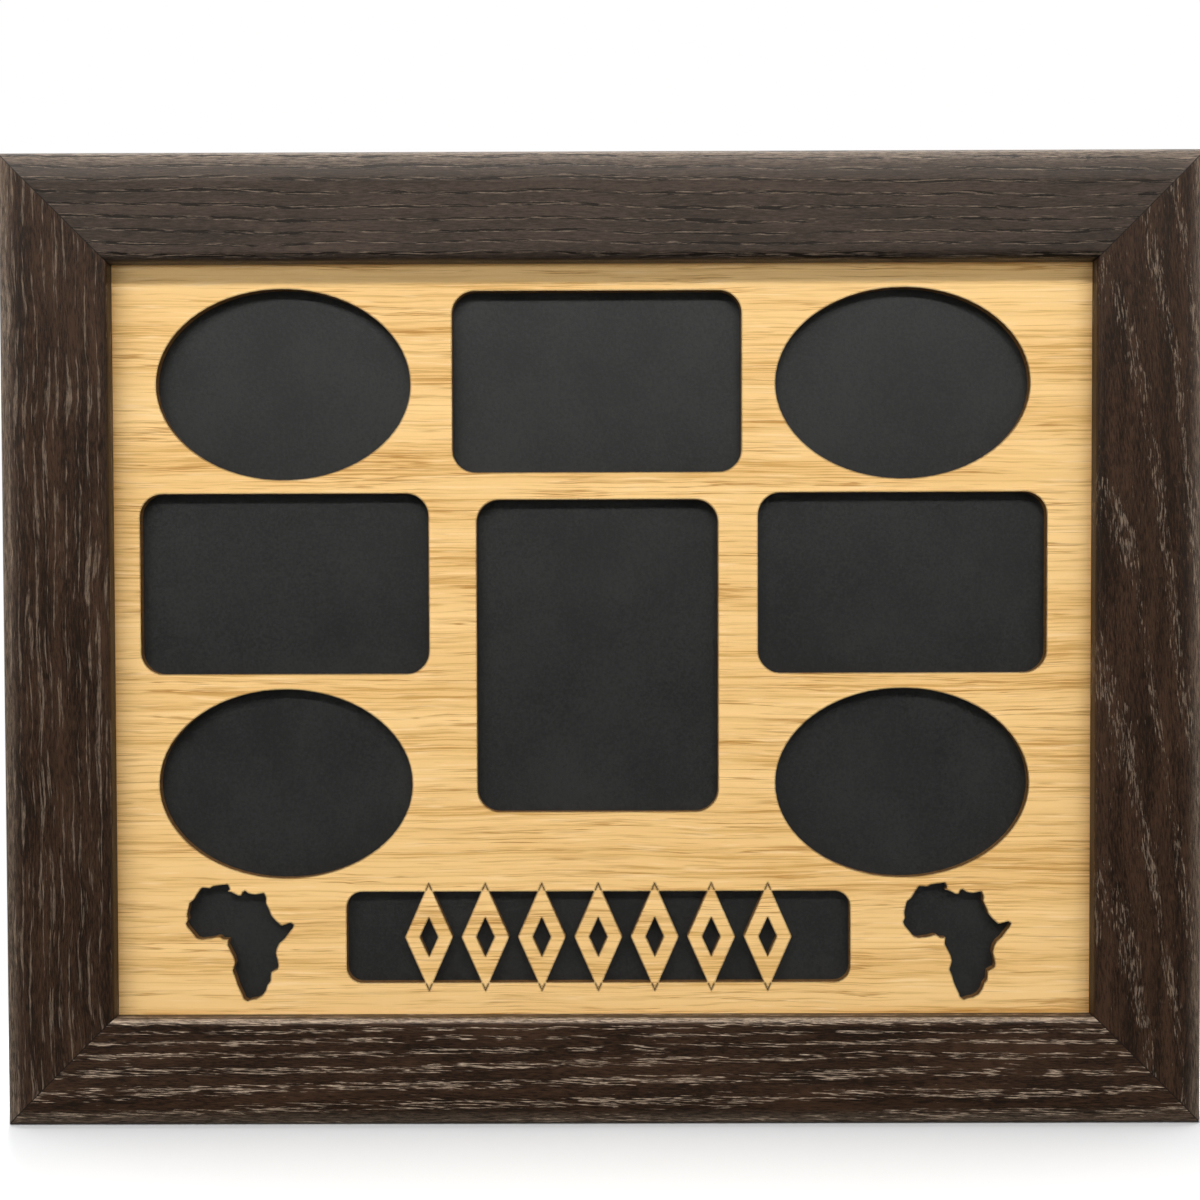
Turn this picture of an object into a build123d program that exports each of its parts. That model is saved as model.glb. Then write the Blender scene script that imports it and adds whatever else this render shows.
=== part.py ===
from build123d import *
import os
from math import cos, radians, sin

# Collage photo frame: four mitred rails round glass, a window mat, a black card and a backing board,
# with turn buttons, a sawtooth hanger and bumpers on the back. Sizes are in millimetres.
# X runs along the width, Z is up and the front faces -Y. The wall is the plane Y = 0, and the origin
# is the point of the wall where the nail carries the middle notch of the hanger.

# Windows of the mat
landscape_width = 101.6
landscape_height = 63.5
portrait_width = 85.0
portrait_height = 110.1
picture_corner = 8.0
oval_width = 89.4
oval_height = 66.9
title_width = 178.2
title_height = 32.3
title_corner = 5.5

# Bars and margins of the mat, from the sight edge of the moulding
left_margin = 8.5
left_bar = 16.9
right_bar = 14.1
right_margin = 14.9
oval_top_margin = 8.0
upper_bar = 4.8
lower_bar = 5.4
figure_top_bar = 2.1
figure_bottom_margin = 4.2
landscape_top_margin = 8.9
portrait_bar = 9.6
title_bar = 28.3
title_bottom_margin = 10.7

# Silhouettes beside the title window, and the pierced lozenges in it
figure_width = 38.2
figure_height = 41.6
figure_gap = 18.8
lozenge_count = 7
lozenge_pitch = 20.0
lozenge_width = 17.0
lozenge_overlap = 3.2
pierced_width = 6.4
pierced_height = 14.0
score_width = 0.3
score_depth = 0.3
score_land = 0.4

# Moulding
face_width = 38.2
lip_width = 7.4
lip_height = 6.8
inner_round = 2.8
shoulder_radius = 20.0
shoulder_angle = 30.0
edge_radius = 3.0
back_bevel = 0.8

# Sheets in the rabbet
sheet_clearance = 0.8
glass_thickness = 2.0
mat_thickness = 3.2
card_thickness = 1.5
backing_thickness = 3.0
backing_clearance = 0.2

# V-nails across the back of each mitre
v_nail_leg = 6.0
v_nail_thickness = 0.8
v_nail_depth = 10.0
v_nail_recess = 0.2
v_nail_insets = (11.0, 22.0)

# Turn buttons and their screws
button_reach = 15.0
button_pivot_radius = 5.0
button_tip_radius = 4.0
button_thickness = 1.2
button_edge = 0.3
button_play = 0.1
button_pivot_inset = 9.0
button_end_inset = 70.0
pivot_clearance = 0.05
screw_radius = 1.45
screw_length = 9.5
screw_head_radius = 2.9
screw_head_height = 1.8
screw_head_round = 0.8
cross_length = 3.2
cross_width = 0.7
cross_depth = 1.0
seat_clearance = 0.05
hole_end_clearance = 0.5

# Sawtooth hanger and its nails
hanger_drop = 14.0
hanger_tab = 11.0
hanger_ramp = 2.0
hanger_strip_height = 9.0
hanger_thickness = 0.9
hanger_rise = 1.3
hanger_corner = 2.5
tooth_count = 9
tooth_pitch = 2.4
tooth_depth = 1.5
tooth_tip = 0.3
nail_radius = 0.8
nail_length = 9.0
nail_head_radius = 1.9
nail_head_height = 0.7
nail_head_round = 0.3
nail_hole_clearance = 0.1

# Wall bumpers
bumper_radius = 6.0
bumper_round = 0.8
bumper_side_inset = 45.0
bumper_bottom_inset = 15.0
bumper_proud = 0.8

# Sizes that follow from those above
opening_width = (
    left_margin + landscape_width + left_bar + portrait_width + right_bar + landscape_width + right_margin
)
side_column = (
    oval_top_margin + oval_height + upper_bar + landscape_height + lower_bar + oval_height
    + figure_top_bar + figure_height + figure_bottom_margin
)
middle_column = (
    landscape_top_margin + landscape_height + portrait_bar + portrait_height + title_bar
    + title_height + title_bottom_margin
)
opening_height = max(side_column, middle_column)
outer_width = opening_width + 2 * face_width
outer_height = opening_height + 2 * face_width
rabbet_width = opening_width + 2 * lip_width
rabbet_height = opening_height + 2 * lip_width
sheet_width = rabbet_width - 2 * sheet_clearance
sheet_height = rabbet_height - 2 * sheet_clearance
rail_depth = (
    lip_height + glass_thickness + mat_thickness + card_thickness + backing_thickness + backing_clearance
)
head_seat = button_play + button_thickness + button_play
bumper_height = head_seat + screw_head_height + bumper_proud

# Places
back_face = -bumper_height
front_face = back_face - rail_depth
glass_front = front_face + lip_height
mat_front = glass_front + glass_thickness
card_front = mat_front + mat_thickness
backing_front = card_front + card_thickness
middle_z = hanger_drop - outer_height / 2
opening_left = -opening_width / 2
opening_top = middle_z + opening_height / 2
opening_bottom = middle_z - opening_height / 2
sheet_middle_z = middle_z - sheet_clearance


def at_back(piece, x, z, angle=0):
    """Sets a piece made about the origin on the rails' back face, turned about Y."""
    return Pos(x, back_face, z) * Rot(0, angle, 0) * piece


def upright(sketch, front, thickness):
    """Stands a sketch up, facing the front, and gives it a thickness backwards from there."""
    return Pos(0, front, 0) * extrude(Plane.XZ * sketch, amount=-thickness)


# Rails
def moulding_profile(reach):
    """The section of a rail whose outer edge is at reach: X is the depth from the front, Y is outwards."""
    sight = reach - face_width
    rabbet = sight + lip_width
    shoulder_run = shoulder_radius * sin(radians(shoulder_angle))
    edge_run = edge_radius * (1 - sin(radians(shoulder_angle)))
    inner_arc = JernArc((inner_round, sight), (-1, 0), inner_round, -90)
    face = Line(inner_arc @ 1, (0, reach - edge_run - shoulder_run))
    shoulder = JernArc(face @ 1, (0, 1), shoulder_radius, -shoulder_angle)
    edge = JernArc(shoulder @ 1, shoulder % 1, edge_radius, shoulder_angle - 90)
    back = Polyline(
        edge @ 1,
        (rail_depth - back_bevel, reach),
        (rail_depth, reach - back_bevel),
        (rail_depth, rabbet),
        (lip_height, rabbet),
        (lip_height, sight),
        inner_arc @ 0,
    )
    return make_face([inner_arc, face, shoulder, edge, *back.edges()])


def mitred_rail(length, reach):
    """A rail of the top's kind, about the middle of the frame, with its ends cut at 45 degrees."""
    bar = extrude(Plane.YZ * moulding_profile(reach), amount=length / 2, both=True)
    spare = face_width
    half_out = length / 2 + spare
    half_in = length / 2 - face_width - spare
    mitres = Polyline(
        (-half_out, reach + spare),
        (half_out, reach + spare),
        (half_in, reach - face_width - spare),
        (-half_in, reach - face_width - spare),
        close=True,
    )
    wedge = upright(make_face(mitres.edges()), 0, rail_depth)
    return Pos(0, front_face, middle_z) * (bar & wedge)


rails_clockwise = ("top_rail", "right_rail", "bottom_rail", "left_rail")


def rail(name):
    """A mitred rail turned about the middle of the frame, by quarter turns, to its own side."""
    quarters = Rot(0, 90 * rails_clockwise.index(name), 0)
    turn = Pos(0, 0, middle_z) * quarters * Pos(0, 0, -middle_z)
    if name in ("top_rail", "bottom_rail"):
        return turn * mitred_rail(outer_width, outer_height / 2)
    return turn * mitred_rail(outer_height, outer_width / 2)


# V-nails
def v_nail(inset, depth):
    """A bent strip of steel, or the slot for it, with its bend on the mitre at this inset from the corner."""
    across = Pos(-v_nail_thickness / 2, 0) * Rectangle(
        v_nail_leg, v_nail_thickness, align=(Align.MIN, Align.CENTER)
    )
    along = Pos(0, -v_nail_thickness / 2) * Rectangle(
        v_nail_thickness, v_nail_leg, align=(Align.CENTER, Align.MIN)
    )
    return Pos(-inset, 0, -inset) * upright(across + along, -depth, depth)


corners_clockwise = ("top_right", "bottom_right", "bottom_left", "top_left")


def at_corner(piece, corner):
    """Turns a piece made for the top right corner, by quarter turns, to another corner of the back face."""
    side = 1 if "right" in corner else -1
    level = 1 if "top" in corner else -1
    angle = 90 * corners_clockwise.index(corner)
    return at_back(piece, side * outer_width / 2, middle_z + level * outer_height / 2, angle)


def v_nails(corner):
    """The nails of one corner, just below the back face."""
    nails = [
        Pos(0, -v_nail_recess, 0) * v_nail(inset, v_nail_depth)
        for inset in v_nail_insets
    ]
    return [at_corner(nail, corner) for nail in nails]


def v_nail_slots(corner):
    """The slots that the nails of one corner fill, open to the back."""
    return [at_corner(v_nail(inset, v_nail_depth + v_nail_recess), corner) for inset in v_nail_insets]


# Sheets
def sheet(front, thickness):
    """A full sheet in the rabbet, standing on the bottom rail."""
    blank = Pos(0, sheet_middle_z) * Rectangle(sheet_width, sheet_height)
    return upright(blank, front, thickness)


# Window mat
left_x = opening_left + left_margin + landscape_width / 2
portrait_x = left_x + landscape_width / 2 + left_bar + portrait_width / 2
right_x = portrait_x + portrait_width / 2 + right_bar + landscape_width / 2
upper_oval_z = opening_top - oval_top_margin - oval_height / 2
side_z = upper_oval_z - oval_height / 2 - upper_bar - landscape_height / 2
lower_oval_z = side_z - landscape_height / 2 - lower_bar - oval_height / 2
figure_z = opening_bottom + figure_bottom_margin + figure_height / 2
top_landscape_z = opening_top - landscape_top_margin - landscape_height / 2
portrait_z = top_landscape_z - landscape_height / 2 - portrait_bar - portrait_height / 2
title_z = opening_bottom + title_bottom_margin + title_height / 2
figure_reach = title_width / 2 + figure_gap + figure_width / 2


def continent():
    """The silhouette's outline, clockwise from its north-west coast, as parts of half its width and height."""
    outline = [
        (-0.71, 0.94), (-0.62, 0.94), (-0.56, 0.93), (-0.49, 0.97), (-0.22, 1.00), (-0.18, 0.92),
        (-0.22, 0.88), (-0.14, 0.86), (-0.02, 0.80), (0.03, 0.81), (0.05, 0.86), (0.10, 0.89),
        (0.17, 0.84), (0.28, 0.82), (0.45, 0.85), (0.49, 0.77), (0.48, 0.68), (0.55, 0.55),
        (0.58, 0.47), (0.66, 0.38), (0.77, 0.29), (0.95, 0.34), (1.00, 0.30), (0.97, 0.24),
        (0.82, 0.06), (0.73, -0.01), (0.68, -0.10), (0.66, -0.19), (0.69, -0.29), (0.71, -0.40),
        (0.69, -0.45), (0.57, -0.51), (0.56, -0.66), (0.50, -0.73), (0.47, -0.82), (0.40, -0.91),
        (0.30, -0.96), (0.21, -0.97), (0.13, -1.00), (0.06, -0.96), (0.04, -0.90), (-0.05, -0.72),
        (-0.09, -0.59), (-0.14, -0.48), (-0.09, -0.34), (-0.12, -0.24), (-0.23, -0.04), (-0.21, 0.06),
        (-0.32, 0.06), (-0.36, 0.10), (-0.42, 0.11), (-0.53, 0.08), (-0.72, 0.06), (-0.80, 0.08),
        (-0.97, 0.27), (-1.00, 0.33), (-0.96, 0.40), (-0.98, 0.49), (-0.93, 0.68), (-0.85, 0.74),
        (-0.80, 0.82),
    ]
    points = [(x * figure_width / 2, z * figure_height / 2) for x, z in outline]
    return make_face(Polyline(*points, close=True).edges())


def lozenge(width, height):
    """A diamond about the origin."""
    corners = Polyline((width / 2, 0), (0, height / 2), (-width / 2, 0), (0, -height / 2), close=True)
    return make_face(corners.edges())


lozenge_height = title_height + 2 * lozenge_overlap
lozenge_places = [
    Pos((i - (lozenge_count - 1) / 2) * lozenge_pitch, 0)
    for i in range(lozenge_count)
]


def title_openings():
    """The title window between a row of lozenges, and the lozenges' pierced middles."""
    opening = RectangleRounded(title_width, title_height, title_corner)
    for place in lozenge_places:
        opening -= place * lozenge(lozenge_width, lozenge_height)
        opening += place * lozenge(pierced_width, pierced_height)
    return Pos(portrait_x, title_z) * opening


def title_scores():
    """Hairlines along the lozenges' tips, where they lie on the mat's border."""
    scores = Sketch()
    window = Rectangle(title_width, title_height + 2 * score_land)
    share = lozenge_height / lozenge_width
    inset_width = lozenge_width - 2 * score_width * (1 + share**-2) ** 0.5
    for place in lozenge_places:
        ring = lozenge(lozenge_width, lozenge_height) - lozenge(inset_width, inset_width * share)
        scores += place * ring - window
    return Pos(portrait_x, title_z) * scores


def window_mat():
    """The veneered board with all its windows cut through and its hairlines scored."""
    oval = Ellipse(oval_width / 2, oval_height / 2)
    landscape = RectangleRounded(landscape_width, landscape_height, picture_corner)
    portrait = RectangleRounded(portrait_width, portrait_height, picture_corner)
    board = sheet(mat_front, mat_thickness)
    windows = [
        Pos(portrait_x, top_landscape_z) * landscape,
        Pos(portrait_x, portrait_z) * portrait,
        title_openings(),
    ]
    for x in (left_x, right_x):
        windows.append(Pos(x, upper_oval_z) * oval)
        windows.append(Pos(x, side_z) * landscape)
        windows.append(Pos(x, lower_oval_z) * oval)
    for side in (-1, 1):
        windows.append(Pos(portrait_x + side * figure_reach, figure_z) * continent())
    for window in windows:
        board -= upright(window, mat_front, mat_thickness)
    return board - upright(title_scores(), mat_front, score_depth)


# Turn buttons and screws
button_level = rabbet_height / 2 + button_pivot_inset
button_side = rabbet_width / 2 + button_pivot_inset
button_end = rabbet_width / 2 - button_end_inset
button_places = {
    "top_left": (-button_end, middle_z + button_level, 90),
    "top_right": (button_end, middle_z + button_level, 90),
    "bottom_left": (-button_end, middle_z - button_level, -90),
    "bottom_right": (button_end, middle_z - button_level, -90),
    "left": (-button_side, middle_z, 0),
    "right": (button_side, middle_z, 180),
}


def turn_button():
    """A flat steel button with its pivot hole at the origin and its tip along X."""
    ends = Circle(button_pivot_radius).edges() + (Pos(button_reach, 0) * Circle(button_tip_radius)).edges()
    plate = upright(make_hull(ends), button_play, button_thickness)
    rims = plate.faces().filter_by(Axis.Y).edges()
    plate = chamfer(rims, button_edge)
    hole = Circle(screw_radius + pivot_clearance)
    return plate - upright(hole, button_play, button_thickness)


def button_screw():
    """A pan-head screw with a cross recess, its head above the button."""
    shank = upright(Circle(screw_radius), -screw_length, screw_length + head_seat)
    head = upright(Circle(screw_head_radius), head_seat, screw_head_height)
    head = fillet(head.edges().group_by(Axis.Y)[-1], screw_head_round)
    cross = Rectangle(cross_length, cross_width) + Rectangle(cross_width, cross_length)
    return shank + head - upright(cross, head_seat + screw_head_height - cross_depth, cross_depth)


def screw_hole():
    """The pilot hole for a button's screw."""
    depth = screw_length + hole_end_clearance
    return upright(Circle(screw_radius + seat_clearance), -depth, depth)


# Sawtooth hanger
bridge_half = tooth_count * tooth_pitch / 2
ramp_end = bridge_half + hanger_ramp
hanger_half = ramp_end + hanger_tab
hanger_z = hanger_strip_height / 2 - tooth_depth
nail_x = ramp_end + hanger_tab / 2


def hanger():
    """A bent steel strip: two flat tabs and a raised bridge with teeth along its lower edge."""
    line = [
        (-hanger_half, 0), (-ramp_end, 0), (-bridge_half, hanger_rise),
        (bridge_half, hanger_rise), (ramp_end, 0), (hanger_half, 0),
    ]
    section = line + [(x, y + hanger_thickness) for x, y in reversed(line)]
    strip = extrude(make_face(Polyline(*section, close=True).edges()), amount=hanger_strip_height)
    strip = Pos(0, 0, -tooth_depth) * strip
    height = hanger_rise + hanger_thickness
    blank = Pos(0, hanger_z) * RectangleRounded(2 * hanger_half, hanger_strip_height, hanger_corner)
    strip = strip & upright(blank, 0, height)
    half_notch = (tooth_pitch - tooth_tip) / 2
    notch = make_face(
        Polyline((-half_notch, -tooth_depth), (half_notch, -tooth_depth), (0, 0), close=True).edges()
    )
    for i in range(tooth_count):
        shift = (i - (tooth_count - 1) / 2) * tooth_pitch
        strip -= upright(Pos(shift, 0) * notch, 0, height)
    for side in (-1, 1):
        hole = Pos(side * nail_x, hanger_z) * Circle(nail_radius + nail_hole_clearance)
        strip -= upright(hole, 0, height)
    return strip


def hanger_nail():
    """A round-headed nail whose head rests on a tab of the hanger."""
    shank = upright(Circle(nail_radius), -nail_length, nail_length + hanger_thickness)
    head = upright(Circle(nail_head_radius), hanger_thickness, nail_head_height)
    head = fillet(head.edges().group_by(Axis.Y)[-1], nail_head_round)
    return shank + head


def nail_hole():
    """The hole that a hanger nail makes in the top rail."""
    depth = nail_length + hole_end_clearance
    return upright(Circle(nail_radius + seat_clearance), -depth, depth)


# Wall bumpers
def wall_bumper():
    """A round pad that keeps the screw heads off the wall."""
    pad = upright(Circle(bumper_radius), 0, bumper_height)
    return fillet(pad.edges().group_by(Axis.Y)[-1], bumper_round)


# Pieces, by name
pieces = {name: rail(name) for name in rails_clockwise}
for corner in corners_clockwise:
    level, side = corner.split("_")
    for slot in v_nail_slots(corner):
        pieces[f"{level}_rail"] -= slot
        pieces[f"{side}_rail"] -= slot
    pieces[f"v_nails_{corner}"] = Compound(v_nails(corner))

screws = []
for name, (x, z, angle) in button_places.items():
    holder = name.split("_")[0] + "_rail"
    pieces[holder] -= at_back(screw_hole(), x, z)
    pieces[f"turn_button_{name}"] = at_back(turn_button(), x, z, angle)
    screws.append(at_back(button_screw(), x, z, angle))
pieces["turn_button_screws"] = Compound(screws)

nails = []
for side in (-1, 1):
    pieces["top_rail"] -= at_back(nail_hole(), side * nail_x, hanger_z)
    nails.append(at_back(hanger_nail(), side * nail_x, hanger_z))
pieces["sawtooth_hanger"] = at_back(hanger(), 0, 0)
pieces["hanger_nails"] = Compound(nails)

pieces["glass_pane"] = sheet(glass_front, glass_thickness)
pieces["window_mat"] = window_mat()
pieces["black_card"] = sheet(card_front, card_thickness)
pieces["backing_board"] = sheet(backing_front, backing_thickness)

bumper_x = outer_width / 2 - bumper_side_inset
bumper_z = middle_z - outer_height / 2 + bumper_bottom_inset
pieces["wall_bumper_left"] = at_back(wall_bumper(), -bumper_x, bumper_z)
pieces["wall_bumper_right"] = at_back(wall_bumper(), bumper_x, bumper_z)

os.makedirs("parts", exist_ok=True)
for name, piece in pieces.items():
    export_step(piece, f"parts/{name}.step")
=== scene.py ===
import bmesh
import bpy
from math import pi, radians
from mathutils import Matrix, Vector


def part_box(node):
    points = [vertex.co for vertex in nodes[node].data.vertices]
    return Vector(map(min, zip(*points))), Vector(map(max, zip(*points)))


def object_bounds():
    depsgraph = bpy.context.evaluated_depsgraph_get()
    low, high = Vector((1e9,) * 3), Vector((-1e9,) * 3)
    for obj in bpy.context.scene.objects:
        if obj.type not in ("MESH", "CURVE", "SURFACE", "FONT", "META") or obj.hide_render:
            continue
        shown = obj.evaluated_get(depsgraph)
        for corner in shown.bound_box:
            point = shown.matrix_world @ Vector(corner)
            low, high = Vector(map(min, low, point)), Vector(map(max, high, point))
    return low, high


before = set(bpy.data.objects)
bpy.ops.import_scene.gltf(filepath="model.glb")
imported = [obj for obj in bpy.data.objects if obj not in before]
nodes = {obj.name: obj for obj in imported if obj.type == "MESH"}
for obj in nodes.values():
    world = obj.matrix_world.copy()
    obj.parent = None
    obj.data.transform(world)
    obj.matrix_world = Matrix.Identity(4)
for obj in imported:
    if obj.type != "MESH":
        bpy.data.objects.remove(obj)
cad_low, cad_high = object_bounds()


# Rails: four lengths of oak moulding, stained dark brown and limed, so that pale wax stays in the pores.
# They are mitred, glued and nailed at the corners. Each was cut from its own board, with its own figure.
# The back is left as raw wood.
outer_width = cad_high.x - cad_low.x
outer_height = cad_high.z - cad_low.z
middle_z = (cad_high.z + cad_low.z) / 2
rail_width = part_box("top_rail")[1].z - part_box("top_rail")[0].z
shoulder_width = 0.007
mitre_line = 0.00012
stain_run = 0.0015

deep_brown = (0.0075, 0.0038, 0.0021, 1)
brown = (0.049, 0.0242, 0.0127, 1)
# Painted sheen: the top rail's two browns are paler and greyer than the others, for the sheen of the light
# above.
painted_sheen_dark_brown = (0.0205, 0.0142, 0.0108, 1)
painted_sheen_pale_brown = (0.0585, 0.0402, 0.0302, 1)
# Painted shade: the near black painted into the top rail's open pores.
pore_shade_black = (0.008, 0.005, 0.0035, 1)
seam_black = (0.006, 0.004, 0.003, 1)
dull_wax = (0.11, 0.075, 0.05, 1)
pale_wax = (0.58, 0.445, 0.325, 1)
raw_oak = (0.4, 0.25, 0.125, 1)
raw_oak_pale = (0.6, 0.415, 0.235, 1)
raw_oak_pore = (0.23, 0.125, 0.055, 1)
raw_oak_seam = (0.1, 0.055, 0.025, 1)
spilt_stain = (0.06, 0.035, 0.021, 1)


def start_finish(name):
    """A new material, with its node tree and its shader."""
    finish = bpy.data.materials.new(name)
    finish.use_nodes = True
    return finish, finish.node_tree, finish.node_tree.nodes["Principled BSDF"]


def add(tree, kind, sockets, **options):
    """Adds a node with these options. Sockets go by name or number, and take a value or a link."""
    node = tree.nodes.new("ShaderNode" + kind)
    for option, value in options.items():
        setattr(node, option, value)
    for key, value in sockets.items():
        if isinstance(value, bpy.types.NodeSocket):
            tree.links.new(value, node.inputs[key])
        else:
            node.inputs[key].default_value = value
    return node.outputs


def calc(tree, operation, first, second=0.0):
    """One step of arithmetic."""
    return add(tree, "Math", {0: first, 1: second}, operation=operation)[0]


def plus(tree, first, second):
    """The sum of two values."""
    return calc(tree, "ADD", first, second)


def minus(tree, first, second):
    """The first value less the second."""
    return calc(tree, "SUBTRACT", first, second)


def times(tree, first, second):
    """The product of two values."""
    return calc(tree, "MULTIPLY", first, second)


def off_half(tree, value):
    """How far a value lies from one half."""
    return calc(tree, "ABSOLUTE", minus(tree, value, 0.5))


def rise(tree, value, low, high):
    """0 below low, 1 above high, and a smooth rise between them."""
    sockets = {"Value": value, "From Min": low, "From Max": high}
    return add(tree, "MapRange", sockets, interpolation_type="SMOOTHSTEP")[0]


def fall(tree, value, low, high):
    """1 below low, 0 above high, and a smooth fall between them."""
    return minus(tree, 1.0, rise(tree, value, low, high))


def blend_colours(tree, share, first, second):
    """The first colour where share is 0, and the second where it is 1."""
    return add(tree, "Mix", {0: share, 6: first, 7: second}, data_type="RGBA")[2]


def streaks(tree, place, often, detail=2.0, roughness=0.5):
    """Noise that changes this often per metre along, in depth and across."""
    stretched = add(tree, "VectorMath", {0: place, 1: often}, operation="MULTIPLY")[0]
    sockets = {"Vector": stretched, "Scale": 1.0, "Detail": detail, "Roughness": roughness}
    return add(tree, "TexNoise", sockets)[0]


def waver(tree, place, often, reach):
    """The place, moved across the grain by up to half this reach, so that straight lines waver."""
    noise = add(tree, "TexNoise", {"Vector": place, "Scale": often, "Detail": 3.0})[1]
    noise = add(tree, "VectorMath", {0: noise, 1: (0.5, 0.5, 0.5)}, operation="SUBTRACT")[0]
    noise = add(tree, "VectorMath", {0: noise, 1: (0, 0, reach)}, operation="MULTIPLY")[0]
    return add(tree, "VectorMath", {0: place, 1: noise}, operation="ADD")[0]


def emboss(tree, shader, height, distance, strength):
    """Gives the surface the look of this height, at this distance in metres."""
    sockets = {"Height": height, "Distance": distance, "Strength": strength}
    tree.links.new(add(tree, "Bump", sockets)[0], shader.inputs["Normal"])


def faces_back(tree):
    """1 on the faces that look at the wall."""
    normal = add(tree, "NewGeometry", {})["Normal"]
    return rise(tree, add(tree, "SeparateXYZ", {0: normal})[1], 0.5, 0.8)


def limed_oak(
    name, turn, shift, rows, spread, climb, share, gather, scarce, wave,
    often, lean, hair, highlight_offset, lime, pore_shade, lip_highlight_rub, dark, light,
):
    """Dark oak with rows of pores. The pattern is turned until the rail lies on top with its opening below.

    Rows are counted over the rail's width. They spread, climb, take a share of the width, gather pores and
    waver by wave. Pores are scarce or open often, lean by degrees, and are thin as thread where hair is 1.
    Lime fills them; the highlight offset moves it just below them, a painted highlight on each pore's lit
    lower lip.
    The pore shade paints them near black, a painted shade in their walls. The lip rub paints the lip pale,
    partly rubbed wax and partly a painted highlight, and stain is dark to light.
    """
    finish, tree, shader = start_finish(name)
    here = add(tree, "TexCoord", {})["Object"]
    inner = (outer_width if turn % 180 else outer_height) / 2 - rail_width
    from_middle = add(tree, "VectorMath", {0: here, 1: (0, cad_low.y, middle_z)}, operation="SUBTRACT")[0]
    sockets = {"Vector": from_middle, "Location": (shift, 0, -inner), "Rotation": (0, radians(turn), 0)}
    rail = waver(tree, add(tree, "Mapping", sockets)[0], 28.0, wave)
    along, depth, outward = add(tree, "SeparateXYZ", {0: rail})[:]

    ring = plus(tree, outward, times(tree, depth, 0.5))
    ring = calc(tree, "DIVIDE", calc(tree, "MAXIMUM", ring, 0.0001), rail_width)
    ring = times(tree, calc(tree, "POWER", ring, spread), rows)
    ring = minus(tree, ring, times(tree, along, climb))
    ring = plus(tree, ring, times(tree, streaks(tree, rail, (9, 30, 45), 3.0), 1.1))
    row = fall(tree, off_half(tree, calc(tree, "FRACT", ring)), 0.2 * share, 0.6 * share)
    thick = minus(tree, streaks(tree, rail, (25, 110, 110), 2.0), 0.5)
    crowd = plus(tree, times(tree, row, gather), times(tree, thick, 0.3))
    leaning = add(tree, "Mapping", {"Vector": rail, "Rotation": (0, radians(lean), 0)})[0]
    often = (often[0], often[1], often[1])
    scarce = scarce - 0.045 * hair

    def open_pores(place):
        """The open pores at this place: broad where hair is 0, thin as thread where it is 1."""
        thread = off_half(tree, streaks(tree, place, (42, 820, 820), 3.0, 0.6))
        thread = calc(tree, "MAXIMUM", 1.0 - hair, fall(tree, thread, 0.012, 0.045))
        opened = plus(tree, crowd, streaks(tree, place, often, 4.0, 0.62))
        return times(tree, rise(tree, opened, scarce, scarce + 0.03), thread)

    pore = open_pores(leaning)
    # Painted highlight: on the top rail the lime is moved half a millimetre towards the opening, a pale
    # fleck painted on each pore's lit lower lip.
    beside = add(tree, "VectorMath", {0: leaning, 1: (0.0004, 0, highlight_offset)}, operation="ADD")[0]
    waxed = open_pores(beside)
    fibre = streaks(tree, leaning, (230, 2000, 2000), 5.0, 0.8)
    cloud = streaks(tree, rail, (16, 90, 150), 3.0, 0.6)

    tint = plus(tree, fibre, times(tree, minus(tree, cloud, 0.5), 0.45))
    wood = blend_colours(tree, rise(tree, tint, 0.38, 0.64), dark, light)
    wax = blend_colours(tree, rise(tree, fibre, 0.35, 0.65), dull_wax, pale_wax)
    wood = blend_colours(tree, times(tree, waxed, lime), wood, wax)
    # The inner lip is painted pale with wax. On the bottom rail this is partly rubbed wax and partly a
    # painted highlight where the lip faces the light. Every rail's outer shoulder gets a little pale wax,
    # partly rubbed wax and partly a painted sheen.
    on_lip = times(tree, fall(tree, outward, 0.001, 0.0018), fall(tree, depth, 0.0014, 0.0022))
    on_shoulder = rise(tree, outward, rail_width - shoulder_width, rail_width - 0.001)
    rub_and_sheen = calc(tree, "MAXIMUM", times(tree, on_lip, lip_highlight_rub), times(tree, on_shoulder, 0.25))
    rub_and_sheen = times(tree, rub_and_sheen, rise(tree, fibre, 0.1, 0.6))
    wood = blend_colours(tree, rub_and_sheen, wood, wax)
    # Painted shade: on the top rail the open pores are painted near black, for the shade in their
    # downward-facing walls.
    wood = blend_colours(tree, times(tree, pore, pore_shade), wood, pore_shade_black)

    place = add(tree, "SeparateXYZ", {0: here})
    from_side = minus(tree, outer_width / 2, calc(tree, "ABSOLUTE", place[0]))
    from_level = calc(tree, "ABSOLUTE", minus(tree, place[2], middle_z))
    from_level = minus(tree, outer_height / 2, from_level)
    off_mitre = calc(tree, "ABSOLUTE", minus(tree, from_side, from_level))
    seam = fall(tree, off_mitre, mitre_line, 3 * mitre_line)
    wood = blend_colours(tree, seam, wood, seam_black)

    raw = blend_colours(tree, rise(tree, tint, 0.3, 0.7), raw_oak, raw_oak_pale)
    raw = blend_colours(tree, times(tree, pore, 0.6), raw, raw_oak_pore)
    ragged = times(tree, streaks(tree, rail, (22, 60, 60), 6.0, 0.7), 2 * stain_run)
    run_over = minus(tree, ragged, calc(tree, "MINIMUM", from_side, from_level))
    raw = blend_colours(tree, rise(tree, run_over, -0.0004, 0.0006), raw, spilt_stain)
    raw = blend_colours(tree, times(tree, seam, 0.8), raw, raw_oak_seam)
    back = faces_back(tree)
    tree.links.new(blend_colours(tree, back, wood, raw), shader.inputs["Base Color"])

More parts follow.
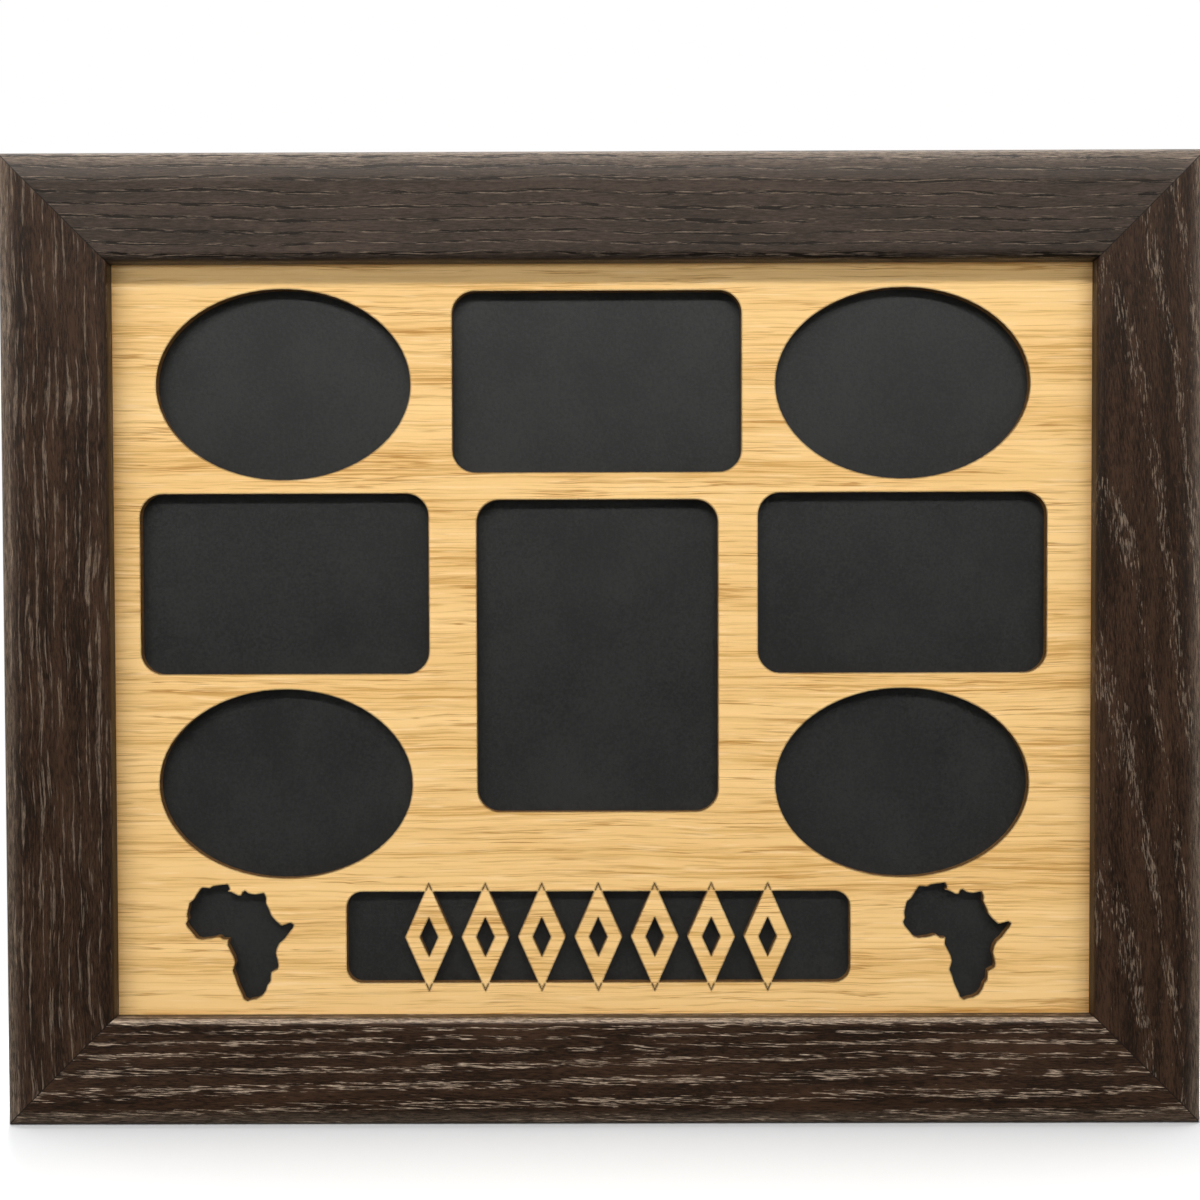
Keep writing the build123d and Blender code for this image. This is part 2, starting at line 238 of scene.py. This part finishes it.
    rough = plus(tree, times(tree, fibre, 0.24), 0.29)
    rough = plus(tree, rough, times(tree, back, 0.35))
    tree.links.new(rough, shader.inputs["Roughness"])
    shader.inputs["Specular IOR Level"].default_value = 0.25
    shader.inputs["Specular Tint"].default_value = (1.0, 0.89, 0.78, 1)
    emboss(tree, shader, minus(tree, fibre, times(tree, pore, 0.7)), 0.0001, 0.9)
    return finish


def dress(finish, *names):
    """Gives these nodes of the model one finish."""
    for name in names:
        nodes[name].data.materials.clear()
        nodes[name].data.materials.append(finish)


# Top rail: its paler, greyer browns are a painted sheen from the light above. Its open pores are painted
# near black as painted shade, and pale wax just below each pore is a painted highlight on its lit lower lip.
top_oak = limed_oak(
    "limed_oak_top", turn=0, shift=0.3, rows=9, spread=0.9, climb=-1.2, share=0.4, gather=0.21,
    scarce=0.695, wave=0.003, often=(85, 1700), lean=-0.3, hair=0, highlight_offset=0.0005, lime=0.24,
    pore_shade=1.0, lip_highlight_rub=0.0, dark=painted_sheen_dark_brown, light=painted_sheen_pale_brown,
)
# Bottom rail: its pores take pale wax at full strength, partly real lime and partly a painted highlight on
# their lit lower walls. Its inner lip is painted pale, partly rubbed wax and partly a painted highlight.
bottom_oak = limed_oak(
    "limed_oak_bottom", turn=180, shift=-0.2, rows=8.4, spread=0.5, climb=3.0, share=0.6, gather=0.21,
    scarce=0.7, wave=0.001, often=(80, 1900), lean=-2.0, hair=1, highlight_offset=0.0, lime=1.0,
    pore_shade=0.0, lip_highlight_rub=0.75, dark=deep_brown, light=brown,
)
left_oak = limed_oak(
    "limed_oak_left", turn=90, shift=0.1, rows=11, spread=1.0, climb=0.5, share=0.7, gather=0.13,
    scarce=0.655, wave=0.005, often=(45, 1000), lean=0.4, hair=0, highlight_offset=0.0, lime=0.24,
    pore_shade=0.0, lip_highlight_rub=0.0, dark=deep_brown, light=brown,
)
right_oak = limed_oak(
    "limed_oak_right", turn=-90, shift=0.7, rows=2.7, spread=1.5, climb=14, share=0.42, gather=0.13,
    scarce=0.665, wave=0.004, often=(200, 1600), lean=4.0, hair=0, highlight_offset=0.0, lime=0.32,
    pore_shade=0.0, lip_highlight_rub=0.0, dark=deep_brown, light=brown,
)
dress(top_oak, "top_rail")
dress(bottom_oak, "bottom_rail")
dress(left_oak, "left_rail")
dress(right_oak, "right_rail")


# V-nails: short strips of plain rolled steel, bent to a V. Two are pressed into the back of each mitre
# to hold it shut.
steel_dark = (0.2, 0.2, 0.205, 1)
steel_light = (0.36, 0.36, 0.37, 1)


def plain_steel():
    """Dull grey steel with rolling marks."""
    finish, tree, shader = start_finish("plain_steel")
    here = add(tree, "TexCoord", {})["Object"]
    marks = streaks(tree, here, (900, 200, 900), 3.0)
    colour = blend_colours(tree, marks, steel_dark, steel_light)
    tree.links.new(colour, shader.inputs["Base Color"])
    tree.links.new(plus(tree, times(tree, marks, 0.3), 0.3), shader.inputs["Roughness"])
    shader.inputs["Metallic"].default_value = 1.0
    return finish


corners = ("top_left", "top_right", "bottom_left", "bottom_right")
dress(plain_steel(), *["v_nails_" + corner for corner in corners])


# Glass: a sheet of clear picture glass, cut to the rabbet and laid in first, behind the lip.
# It shows only as a faint sheen over the dark windows.
clear_tint = (0.99, 0.99, 0.985, 1)
sheen_index = 1.32


def picture_glass():
    """Clear, with a faint reflection on its outer faces that grows at a slant."""
    finish, tree, shader = start_finish("picture_glass")
    tree.nodes.remove(shader)
    clear = add(tree, "BsdfTransparent", {"Color": clear_tint})[0]
    shine = add(tree, "BsdfAnisotropic", {"Color": (1, 1, 1, 1), "Roughness": 0.02})[0]
    outside = minus(tree, 1.0, add(tree, "NewGeometry", {})["Backfacing"])
    share = times(tree, add(tree, "Fresnel", {"IOR": sheen_index})[0], outside)
    pane = add(tree, "MixShader", {0: share, 1: clear, 2: shine})[0]
    tree.links.new(pane, tree.nodes["Material Output"].inputs["Surface"])
    return finish


dress(picture_glass(), "glass_pane")


# Window mat: thin board faced with honey-coloured oak veneer, its grain running across.
# The windows are cut by laser, which leaves the cut walls and the scored hairlines burnt brown.
mat_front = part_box("window_mat")[0].y
rim = 0.0009
pale_honey = (0.95, 0.642, 0.284, 1)
honey = (0.84, 0.531, 0.204, 1)
line_brown = (0.68, 0.39, 0.115, 1)
fleck_cream = (0.97, 0.69, 0.37, 1)
dash_brown = (0.56, 0.3, 0.075, 1)
ring_brown = (0.45, 0.205, 0.036, 1)
rim_black = (0.014, 0.007, 0.003, 1)
char_dark = (0.05, 0.022, 0.006, 1)
char_light = (0.27, 0.13, 0.034, 1)


def oak_veneer():
    """Honey oak with fine dark pores on the face, black at the rim of each cut, and burnt on its walls."""
    finish, tree, shader = start_finish("oak_veneer")
    here = add(tree, "TexCoord", {})["Object"]
    grain = waver(tree, here, 14.0, 0.004)
    bands = streaks(tree, grain, (2.5, 1, 90), 3.0)
    lines = streaks(tree, grain, (11, 1, 1000), 3.0, 0.65)
    flecks = streaks(tree, grain, (40, 1, 800), 2.0)
    pores = streaks(tree, grain, (40, 1, 1500), 2.0)
    rings = off_half(tree, streaks(tree, grain, (5, 1, 230), 5.0, 0.62))
    faint = rise(tree, streaks(tree, grain, (18, 1, 150), 2.0), 0.38, 0.62)

    wood = blend_colours(tree, rise(tree, bands, 0.3, 0.7), pale_honey, honey)
    busy = plus(tree, 0.4, times(tree, rise(tree, bands, 0.42, 0.62), 0.55))
    wood = blend_colours(tree, times(tree, rise(tree, lines, 0.5, 0.64), busy), wood, line_brown)
    wood = blend_colours(tree, times(tree, rise(tree, flecks, 0.56, 0.7), 0.6), wood, fleck_cream)
    crowd = times(tree, minus(tree, bands, 0.5), 0.55)
    crowd = plus(tree, crowd, times(tree, minus(tree, lines, 0.5), 0.4))
    dashes = rise(tree, plus(tree, pores, crowd), 0.57, 0.65)
    wood = blend_colours(tree, times(tree, dashes, 0.5), wood, dash_brown)
    ring = times(tree, fall(tree, rings, 0.002, 0.022), times(tree, faint, 0.8))
    wood = blend_colours(tree, ring, wood, ring_brown)

    normal = add(tree, "NewGeometry", {})["Normal"]
    eased = add(tree, "Bevel", {"Radius": rim}, samples=4)[0]
    near_cut = add(tree, "VectorMath", {0: eased, 1: normal}, operation="DOT_PRODUCT")["Value"]
    near_cut = rise(tree, minus(tree, 1.0, near_cut), 0.003, 0.06)
    wood = blend_colours(tree, times(tree, near_cut, 0.95), wood, rim_black)

    aside = calc(tree, "ABSOLUTE", add(tree, "SeparateXYZ", {0: normal})[1])
    depth = add(tree, "SeparateXYZ", {0: here})[1]
    scored = rise(tree, depth, mat_front + 0.00005, mat_front + 0.00015)
    burnt = calc(tree, "MAXIMUM", fall(tree, aside, 0.3, 0.6), scored)
    soot = streaks(tree, here, (800, 300, 800), 2.0)
    char = blend_colours(tree, soot, char_dark, char_light)
    tree.links.new(blend_colours(tree, burnt, wood, char), shader.inputs["Base Color"])
    tree.links.new(plus(tree, times(tree, dashes, 0.2), 0.5), shader.inputs["Roughness"])
    shader.inputs["Specular IOR Level"].default_value = 0.25
    emboss(tree, shader, minus(tree, times(tree, lines, 0.3), dashes), 0.00002, 0.5)
    return finish


dress(oak_veneer(), "window_mat")


# Card: a sheet of matt black card, cut to the rabbet and laid behind the mat. It closes the windows
# until pictures are put in front of it.
card_dark = (0.003, 0.0032, 0.003, 1)
card_light = (0.0128, 0.0132, 0.0125, 1)


def black_paper():
    """Matt black with the faint tooth of paper."""
    finish, tree, shader = start_finish("black_paper")
    here = add(tree, "TexCoord", {})["Object"]
    tooth = streaks(tree, here, (1100, 1100, 1100), 3.0, 0.7)
    cloud = streaks(tree, here, (40, 40, 40), 2.0)
    shade = plus(tree, times(tree, tooth, 0.7), times(tree, cloud, 0.3))
    colour = blend_colours(tree, rise(tree, shade, 0.38, 0.62), card_dark, card_light)
    tree.links.new(colour, shader.inputs["Base Color"])
    tree.links.new(plus(tree, times(tree, tooth, 0.1), 0.49), shader.inputs["Roughness"])
    shader.inputs["Specular IOR Level"].default_value = 0.57
    emboss(tree, shader, tooth, 0.00006, 0.9)
    return finish


dress(black_paper(), "black_card")


# Backing board: brown hardboard that fills the rabbet to the back of the rails. It was pressed on a wire
# screen, which left a fine mesh of dents on the side that faces the wall.
screen_pitch = 0.0016
board_dark = (0.185, 0.102, 0.05, 1)
board_light = (0.225, 0.13, 0.068, 1)
pale_fibre = (0.33, 0.215, 0.125, 1)
dark_fibre = (0.09, 0.045, 0.02, 1)


def pressed_board():
    """Brown fibre board with the print of a wire screen on its back."""
    finish, tree, shader = start_finish("pressed_board")
    here = add(tree, "TexCoord", {})["Object"]
    fibre = streaks(tree, here, (500, 500, 500), 4.0, 0.7)
    cloud = streaks(tree, here, (25, 25, 25), 3.0)
    place = add(tree, "SeparateXYZ", {0: here})
    across = calc(tree, "SINE", times(tree, place[0], 2 * pi / screen_pitch))
    upward = calc(tree, "SINE", times(tree, place[2], 2 * pi / screen_pitch))
    mesh = times(tree, times(tree, across, upward), faces_back(tree))
    colour = blend_colours(tree, rise(tree, cloud, 0.2, 0.8), board_dark, board_light)
    colour = blend_colours(tree, rise(tree, fibre, 0.52, 0.75), colour, pale_fibre)
    colour = blend_colours(tree, rise(tree, minus(tree, 1.0, fibre), 0.55, 0.8), colour, dark_fibre)
    tree.links.new(colour, shader.inputs["Base Color"])
    tree.links.new(plus(tree, times(tree, fibre, 0.25), 0.5), shader.inputs["Roughness"])
    emboss(tree, shader, plus(tree, mesh, fibre), 0.00012, 0.7)
    return finish


dress(pressed_board(), "backing_board")


# Turn buttons and screws: flat buttons stamped from steel, each on a pan-head screw, that turn over the edge
# of the backing board to hold the sheets in. All are zinc plated.
zinc_dark = (0.5, 0.51, 0.52, 1)
zinc_light = (0.7, 0.705, 0.69, 1)


def zinc_plate():
    """Bright plated steel with a faint crystal cloud and fine scratches."""
    finish, tree, shader = start_finish("zinc_plate")
    here = add(tree, "TexCoord", {})["Object"]
    cloud = streaks(tree, here, (350, 350, 350), 3.0, 0.6)
    scratch = streaks(tree, here, (300, 300, 4200), 2.0)
    colour = blend_colours(tree, rise(tree, cloud, 0.3, 0.7), zinc_dark, zinc_light)
    tree.links.new(colour, shader.inputs["Base Color"])
    rough = plus(tree, times(tree, cloud, 0.22), times(tree, scratch, 0.3))
    tree.links.new(plus(tree, rough, 0.08), shader.inputs["Roughness"])
    shader.inputs["Metallic"].default_value = 1.0
    emboss(tree, shader, scratch, 0.00002, 0.4)
    return finish


sides = corners + ("left", "right")
dress(zinc_plate(), "turn_button_screws", *["turn_button_" + side for side in sides])


# Hanger: a strip of steel with teeth along its lower edge, bent to stand off the rail and thinly brassed.
# Two round-headed nails of the same finish hold it to the back of the top rail.
brass_bright = (0.66, 0.47, 0.2, 1)
brass_dull = (0.5, 0.33, 0.12, 1)


def brass_plate():
    """Thin warm plating, a little dulled."""
    finish, tree, shader = start_finish("brass_plate")
    here = add(tree, "TexCoord", {})["Object"]
    cloud = streaks(tree, here, (300, 300, 300), 3.0, 0.6)
    marks = streaks(tree, here, (120, 2500, 2500), 2.0)
    colour = blend_colours(tree, rise(tree, cloud, 0.35, 0.7), brass_bright, brass_dull)
    tree.links.new(colour, shader.inputs["Base Color"])
    rough = plus(tree, times(tree, cloud, 0.3), times(tree, marks, 0.2))
    tree.links.new(plus(tree, rough, 0.05), shader.inputs["Roughness"])
    shader.inputs["Metallic"].default_value = 1.0
    emboss(tree, shader, marks, 0.00002, 0.4)
    return finish


dress(brass_plate(), "sawtooth_hanger", "hanger_nails")


# Bumpers: two round pads of dark moulded rubber. They are stuck to the back of the bottom rail, near its
# ends, so that it stands off the wall.
rubber_dark = (0.03, 0.03, 0.031, 1)
rubber_bloom = (0.075, 0.074, 0.072, 1)


def pad_rubber():
    """Dark rubber with a fine moulded grain and a dusty bloom."""
    finish, tree, shader = start_finish("pad_rubber")
    here = add(tree, "TexCoord", {})["Object"]
    bloom = streaks(tree, here, (180, 180, 180), 3.0)
    pebble = streaks(tree, here, (2200, 2200, 2200), 2.0)
    colour = blend_colours(tree, rise(tree, bloom, 0.35, 0.75), rubber_dark, rubber_bloom)
    tree.links.new(colour, shader.inputs["Base Color"])
    tree.links.new(plus(tree, times(tree, pebble, 0.3), 0.55), shader.inputs["Roughness"])
    emboss(tree, shader, pebble, 0.00005, 0.5)
    return finish


dress(pad_rubber(), "wall_bumper_left", "wall_bumper_right")


# Studio: a white floor under the frame's lower edge and a pale room, brighter behind. A long bar lamp above
# the front draws the lip's shadow, strips stand at both sides, and soft boxes hang overhead and behind.
# A dark flag, from the floor in front up behind the camera, keeps the room out of the glass.
floor_grey = (0.2, 0.2, 0.2, 1)
floor_white = (0.78, 0.785, 0.79, 1)
flag_grey = (0.03, 0.03, 0.03, 1)
flag_lift = 0.002
flag_height = 2.2


def stand(name, outline, height=0.0):
    """A flat sheet of the studio, from its corners on the floor, as an object."""
    shape = bmesh.new()
    shape.faces.new([shape.verts.new((x, y, cad_low.z + height)) for x, y in outline])
    mesh = bpy.data.meshes.new(name)
    shape.to_mesh(mesh)
    shape.free()
    sheet = bpy.data.objects.new(name, mesh)
    bpy.context.scene.collection.objects.link(sheet)
    return sheet


floor = stand("floor", [(-5, -5), (5, -5), (5, 5), (-5, 5)])
white, tree, shader = start_finish("white_floor")
tree.nodes.remove(shader)
path = add(tree, "LightPath", {})
seen = calc(tree, "MAXIMUM", path["Is Camera Ray"], path["Is Transmission Ray"])
colour = blend_colours(tree, seen, floor_grey, floor_white)
matt = add(tree, "BsdfDiffuse", {"Color": colour})[0]
blank = add(tree, "Emission", {"Strength": seen})[0]
place = add(tree, "SeparateXYZ", {0: add(tree, "TexCoord", {})["Object"]})
aside = minus(tree, calc(tree, "ABSOLUTE", place[0]), outer_width / 2)
away = calc(tree, "MAXIMUM", calc(tree, "ABSOLUTE", place[1]), aside)
fade = times(tree, rise(tree, away, 0.04, 0.16), seen)
sheet = add(tree, "MixShader", {0: fade, 1: matt, 2: blank})[0]
tree.links.new(sheet, tree.nodes["Material Output"].inputs["Surface"])
floor.data.materials.append(white)

flag = stand("flag", [(-3, -3), (3, -3), (3, -0.1), (-3, -0.1)], flag_lift)
shape = bmesh.new()
shape.from_mesh(flag.data)
far_edge = min(shape.edges, key=lambda edge: edge.verts[0].co.y + edge.verts[1].co.y)
raised = bmesh.ops.extrude_edge_only(shape, edges=[far_edge])["geom"]
raised = [part for part in raised if isinstance(part, bmesh.types.BMVert)]
bmesh.ops.translate(shape, verts=raised, vec=(0, 0, flag_height))
shape.to_mesh(flag.data)
shape.free()
cloth, tree, shader = start_finish("dark_flag")
shader.inputs["Base Color"].default_value = flag_grey
shader.inputs["Roughness"].default_value = 0.9
flag.data.materials.append(cloth)
flag.visible_camera = False
flag.visible_diffuse = False
flag.visible_transmission = False
flag.visible_shadow = False

room = bpy.data.worlds.new("room")
room.use_nodes = True
bpy.context.scene.world = room
tree = room.node_tree
path = add(tree, "LightPath", {})
shown = calc(tree, "MAXIMUM", path["Is Camera Ray"], path["Is Glossy Ray"])
shown = calc(tree, "MAXIMUM", shown, path["Is Transmission Ray"])
way = add(tree, "TexCoord", {})["Generated"]
behind = rise(tree, add(tree, "SeparateXYZ", {0: way})[1], -0.1, 0.5)
fill = plus(tree, 0.06, times(tree, behind, 0.35))
level = add(tree, "Mix", {0: shown, 2: fill, 3: 1.0})[0]
tree.links.new(level, tree.nodes["Background"].inputs["Strength"])
tree.nodes["Background"].inputs["Color"].default_value = (1, 1, 1, 1)

middle = Vector((0, cad_low.y, middle_z))


def hang_lamp(name, place, energy, length, width):
    """An area lamp at this place from the frame's middle, turned towards it."""
    lamp = bpy.data.lights.new(name, "AREA")
    lamp.energy = energy
    lamp.shape = "RECTANGLE"
    lamp.size = length
    lamp.size_y = width
    holder = bpy.data.objects.new(name, lamp)
    holder.location = middle + Vector(place)
    holder.rotation_euler = Vector(place).to_track_quat("Z", "Y").to_euler()
    bpy.context.scene.collection.objects.link(holder)
    return holder


hang_lamp("front_bar", (-0.15, -1.12, 1.14), 27.5, 2.6, 0.1)
hang_lamp("left_strip", (-1.0, -1.0, 0.16), 6.6, 2.2, 0.3).visible_glossy = False
hang_lamp("right_strip", (1.0, -1.0, 0.16), 6.6, 2.2, 0.3).visible_glossy = False
hang_lamp("overhead_box", (0, 0.12, 1.3), 18, 1.4, 0.4)
hang_lamp("back_box", (-0.6, 1.5, 0.8), 26, 0.7, 0.7).visible_glossy = False


# Camera: half a metre in front of the frame, level with its middle and tipped down by about a degree.
# A small shift sets the frame a little below the middle of the picture.
view = bpy.data.cameras.new("view")
view.lens = 42
view.sensor_width = 36
view.shift_y = 0.05
view.clip_start = 0.01
camera = bpy.data.objects.new("camera", view)
camera.location = (0.0003, -0.5056, -0.152)
camera.rotation_euler = (radians(88.757), radians(0.162), radians(0.137))
bpy.context.scene.collection.objects.link(camera)
bpy.context.scene.camera = camera
bpy.context.scene.view_settings.view_transform = "Standard"
